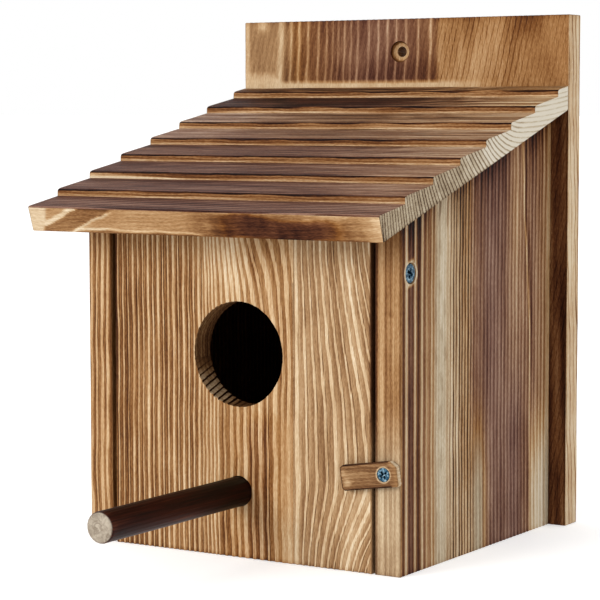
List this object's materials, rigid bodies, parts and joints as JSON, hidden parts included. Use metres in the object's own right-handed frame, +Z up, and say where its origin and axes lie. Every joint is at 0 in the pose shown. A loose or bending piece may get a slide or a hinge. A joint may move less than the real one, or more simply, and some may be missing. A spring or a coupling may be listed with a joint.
{
  "type": "birdhouse",
  "caption": "Hanging wooden nest box with a stepped lean-to roof, a pivoting front door with a round entrance and a dowel perch, a turn button and a tall back board.",
  "frame": {"origin": "bottom of the box, midway across it, and midway between the perch's tip and the back board's rear face", "axes": "+Z up, +Y from the front towards the back board, +X to the right of someone facing the front"},
  "size_m": [0.175, 0.2466, 0.2325],
  "materials": {
    "scorched_pine": "flame-scorched and brushed pine, matt, with raised latewood lines",
    "dark_dowel": "dark stained hardwood dowel, matt, with a raw end",
    "zinc_steel": "bluish zinc plate"
  },
  "bodies": {
    "house": {"back_board": "scorched_pine", "left_side_panel": "scorched_pine", "right_side_panel": "scorched_pine", "floor_panel": "scorched_pine", "roof_board": "scorched_pine", "turn_button_screw": "zinc_steel", "back_screw_1": "zinc_steel", "back_screw_2": "zinc_steel", "back_screw_3": "zinc_steel", "back_screw_4": "zinc_steel", "floor_screw_left": "zinc_steel", "floor_screw_right": "zinc_steel", "roof_brad_1": "zinc_steel", "roof_brad_2": "zinc_steel", "roof_brad_3": "zinc_steel", "roof_edge_brad_1": "zinc_steel", "roof_edge_brad_2": "zinc_steel", "roof_edge_brad_3": "zinc_steel", "roof_edge_brad_4": "zinc_steel"},
    "door": {"front_door": "scorched_pine", "perch_dowel": "dark_dowel", "pivot_screw_left": "zinc_steel", "pivot_screw_right": "zinc_steel"},
    "button": {"turn_button": "scorched_pine"}
  },
  "joints": [
    {"name": "door_swing", "type": "hinge", "parent": "house", "child": "door", "pos_m": [0, -0.01775, 0.1239], "axis": [-1, 0, 0], "range_deg": [0, 90]},
    {"name": "button_turn", "type": "hinge", "parent": "house", "child": "button", "pos_m": [0.073, -0.02975, 0.0424], "axis": [0, 1, 0], "range_deg": [-81.2, 98.8]}
  ]
}
